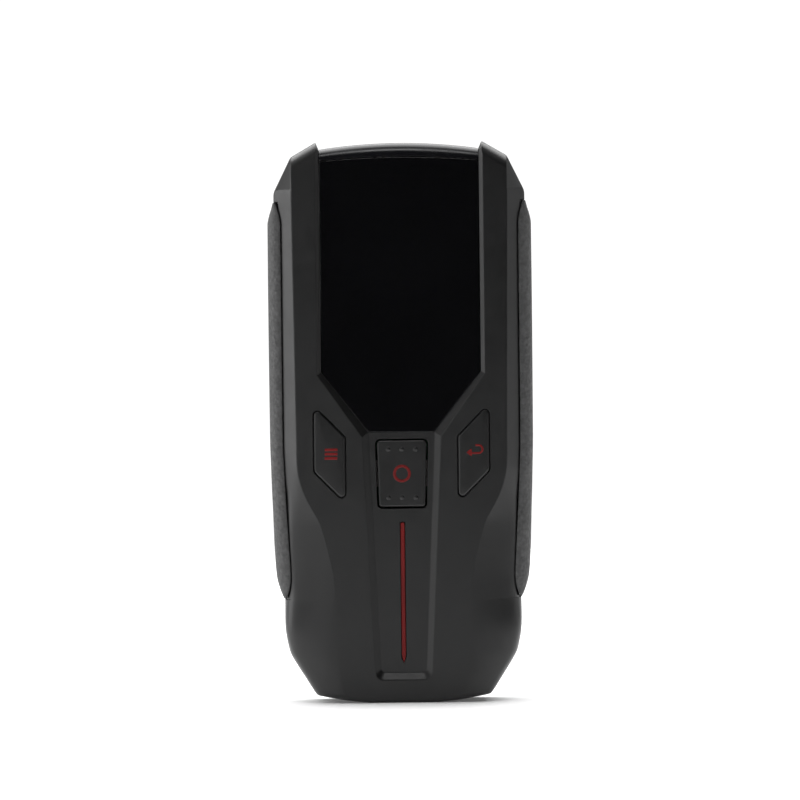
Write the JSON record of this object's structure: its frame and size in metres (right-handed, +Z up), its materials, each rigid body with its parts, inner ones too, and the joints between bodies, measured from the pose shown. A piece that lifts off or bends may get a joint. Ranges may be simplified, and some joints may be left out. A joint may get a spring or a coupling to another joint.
{
  "type": "radar detector",
  "caption": "Upright handheld radar detector: black faceted housing with rubber side grips, recessed display, slanted side keys, a rocker key and a red light line.",
  "frame": {"origin": "middle of the bounding box's base, on the foot that the housing stands on", "axes": "+Z up the length to the top window, +X across the width to the right-hand key, -Y out of the display face"},
  "size_m": [0.07, 0.033, 0.1485],
  "materials": {
    "shell_plastic": "fine satin texture",
    "grip_rubber": "stippled soft-touch",
    "key_plastic": "fine satin texture",
    "display_gloss": "polished",
    "top_tint": "polished, infrared tint",
    "light_red": "translucent red, unlit",
    "nylon": "moulded",
    "switch_black": "moulded",
    "steel": "plated",
    "tin_shield": "tin plated",
    "board_green": "solder mask",
    "lcd_glass": "display glass",
    "white_plastic": "diffuser",
    "flex_amber": "polyimide film",
    "lens_clear": "polished",
    "cone_paper": "pressed paper",
    "ferrite": "sintered",
    "speaker_cloth": "woven",
    "foam": "closed cell foam",
    "battery_wrap": "shrink film"
  },
  "bodies": {
    "housing": {"front_cover": "shell_plastic", "rear_cover": "shell_plastic", "left_grip": "grip_rubber", "right_grip": "grip_rubber", "display_window": "display_gloss", "window_gasket": "foam", "laser_window": "top_tint", "light_pipe": "light_red", "menu_switch": "switch_black", "back_switch": "switch_black", "select_switch": "switch_black", "up_switch": "switch_black", "down_switch": "switch_black", "lcd_panel": "lcd_glass", "lcd_backlight": "white_plastic", "lcd_ribbon": "flex_amber", "main_board": "board_green", "processor_shield": "tin_shield", "horn_antenna": "steel", "rf_module": "tin_shield", "laser_lens": "lens_clear", "laser_sensor": "switch_black", "speaker_basket": "steel", "speaker_cone": "cone_paper", "speaker_magnet": "ferrite", "speaker_mesh": "speaker_cloth", "battery_pack": "battery_wrap", "battery_foam": "foam", "usb_socket": "steel", "status_led_1": "white_plastic", "status_led_2": "white_plastic", "status_led_3": "white_plastic", "cover_screw_1": "steel", "cover_screw_2": "steel", "cover_screw_3": "steel", "cover_screw_4": "steel", "board_screw_1": "steel", "board_screw_2": "steel", "rear_pad": "grip_rubber"},
    "menu_key": {"menu_button": "key_plastic", "menu_plunger": "nylon"},
    "back_key": {"back_button": "key_plastic", "back_plunger": "nylon"},
    "select_carrier": {"rocker_carrier": "nylon", "rocker_pin": "steel", "select_plunger": "nylon"},
    "rocker": {"rocker_key": "key_plastic"},
    "up_contact": {"up_plunger": "nylon"},
    "down_contact": {"down_plunger": "nylon"}
  },
  "joints": [
    {"name": "menu_press", "type": "slide", "parent": "housing", "child": "menu_key", "axis": [0, 1, 0], "range_m": [0, 0.0005], "stiffness_N_per_m": 500},
    {"name": "back_press", "type": "slide", "parent": "housing", "child": "back_key", "axis": [0, 1, 0], "range_m": [0, 0.0005], "stiffness_N_per_m": 500},
    {"name": "select_press", "type": "slide", "parent": "housing", "child": "select_carrier", "axis": [0, 1, 0], "range_m": [0, 0.0004], "stiffness_N_per_m": 600},
    {"name": "rocker_tilt", "type": "hinge", "parent": "select_carrier", "child": "rocker", "pos_m": [0, -0.01185, 0.0606], "axis": [1, 0, 0], "range_deg": [-2.5, 2.5], "stiffness_Nm_per_rad": 0.05},
    {"name": "up_contact_slide", "type": "slide", "parent": "select_carrier", "child": "up_contact", "axis": [0, 1, 0], "range_m": [-0.0003, 0.0003]},
    {"name": "down_contact_slide", "type": "slide", "parent": "select_carrier", "child": "down_contact", "axis": [0, 1, 0], "range_m": [-0.0003, 0.0003]}
  ],
  "couplings": [
    {"joint": "up_contact_slide", "follows": "rocker_tilt", "m_per_rad": -0.0063},
    {"joint": "down_contact_slide", "follows": "rocker_tilt", "m_per_rad": 0.0063}
  ]
}
